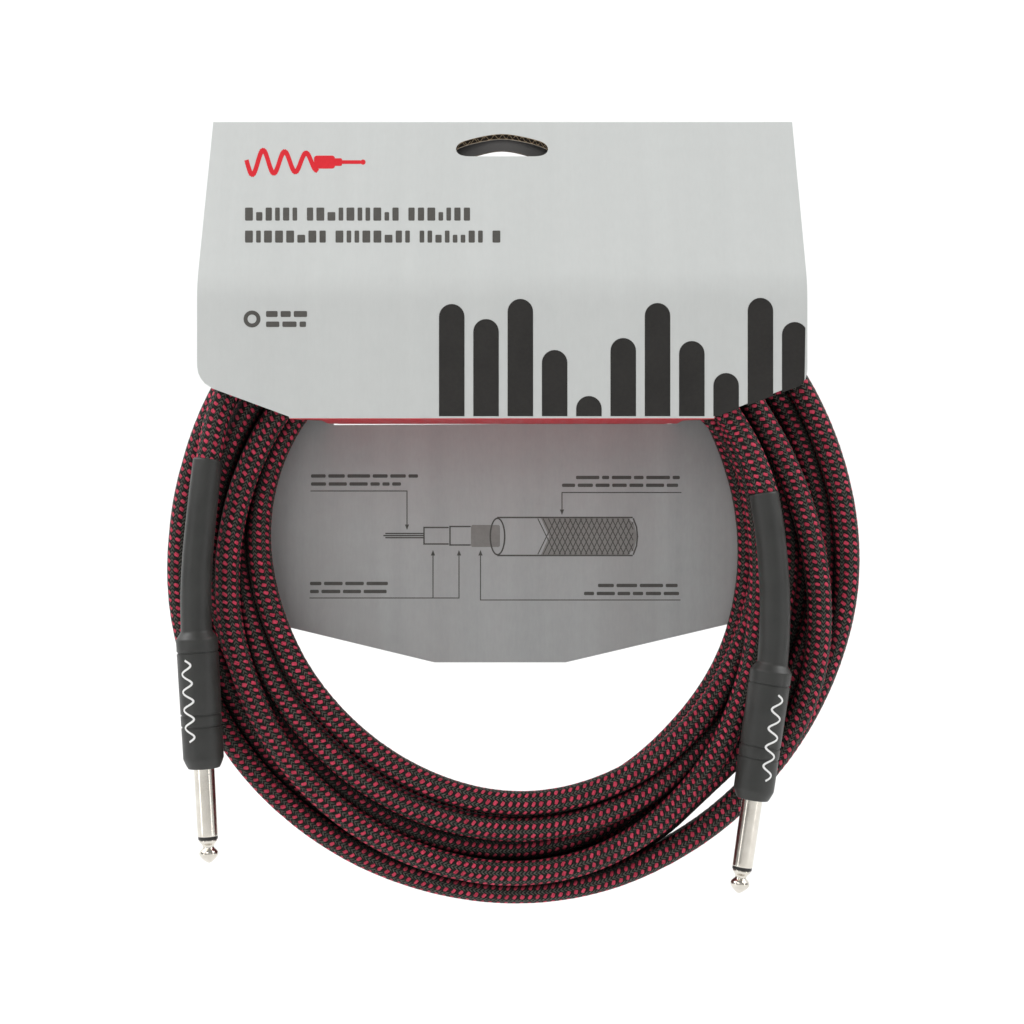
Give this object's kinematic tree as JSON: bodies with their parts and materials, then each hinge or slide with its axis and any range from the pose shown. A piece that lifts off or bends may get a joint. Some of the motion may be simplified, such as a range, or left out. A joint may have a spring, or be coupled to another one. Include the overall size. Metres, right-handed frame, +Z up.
{
  "type": "instrument cable",
  "caption": "Woven-covered instrument cable wound in a round coil, with straight moulded plugs, held by a folded corrugated hang card with a tuck-in tab.",
  "frame": {"origin": "where the axis of a display peg crosses the back face of the card, just under the top edge of the hang hole", "axes": "+Z up along the hanging card, +X to the right seen from the front, +Y from the front of the card to its back"},
  "size_m": [0.2198, 0.0369, 0.2533],
  "materials": {
    "board_inner": "printed grey, satin",
    "board_front": "printed light grey, satin",
    "board_flap": "printed red, satin",
    "woven_cover": "crimson and charcoal weave",
    "soft_moulding": "matte",
    "hard_moulding": "as moulded",
    "plated_contact": "nickel plated, polished",
    "insulator": "black",
    "lug_metal": "tinned",
    "washer_board": "hard paper",
    "cable_jacket": "soft plastic",
    "copper": "bare copper",
    "core_screen": "conductive plastic",
    "core_plastic": "natural",
    "solder": "tin alloy"
  },
  "bodies": {
    "card_back_and_cable": {"card_back_panel": "board_inner", "cable_coil": "woven_cover", "plug_a_lead": "woven_cover", "plug_a_boot": "soft_moulding", "plug_a_inner_mould": "hard_moulding", "plug_a_sleeve": "plated_contact", "plug_a_insulator_ring": "insulator", "plug_a_insulator_tube": "insulator", "plug_a_tip_contact": "plated_contact", "plug_a_ground_lug": "lug_metal", "plug_a_rear_washer": "washer_board", "plug_a_tip_lug": "lug_metal", "plug_a_jacket_end": "cable_jacket", "plug_a_shield": "copper", "plug_a_core_screen": "core_screen", "plug_a_core_insulation": "core_plastic", "plug_a_conductor": "copper", "plug_a_tip_solder": "solder", "plug_a_ground_solder": "solder", "plug_b_lead": "woven_cover", "plug_b_boot": "soft_moulding", "plug_b_inner_mould": "hard_moulding", "plug_b_sleeve": "plated_contact", "plug_b_insulator_ring": "insulator", "plug_b_insulator_tube": "insulator", "plug_b_tip_contact": "plated_contact", "plug_b_ground_lug": "lug_metal", "plug_b_rear_washer": "washer_board", "plug_b_tip_lug": "lug_metal", "plug_b_jacket_end": "cable_jacket", "plug_b_shield": "copper", "plug_b_core_screen": "core_screen", "plug_b_core_insulation": "core_plastic", "plug_b_conductor": "copper", "plug_b_tip_solder": "solder", "plug_b_ground_solder": "solder"},
    "front_upper": {"card_front_upper": "board_front"},
    "front_lower": {"card_front_lower": "board_front"},
    "tuck_flap": {"card_tuck_flap": "board_flap"}
  },
  "joints": [
    {"name": "top_fold", "type": "hinge", "parent": "card_back_and_cable", "child": "front_upper", "pos_m": [0, -0.0008, 0.0124], "axis": [-1, 0, 0], "range_deg": [0, 150]},
    {"name": "front_crease", "type": "hinge", "parent": "front_upper", "child": "front_lower", "pos_m": [0, -0.0322, -0.0443], "axis": [-1, 0, 0], "range_deg": [0, 29]},
    {"name": "tuck_fold", "type": "hinge", "parent": "front_lower", "child": "tuck_flap", "pos_m": [0, -0.0322, -0.0851], "axis": [-1, 0, 0], "range_deg": [0, 90]}
  ],
  "couplings": [
    {"joint": "front_crease", "follows": "top_fold", "ratio": 0.193},
    {"joint": "tuck_fold", "follows": "top_fold", "ratio": 0.6}
  ]
}
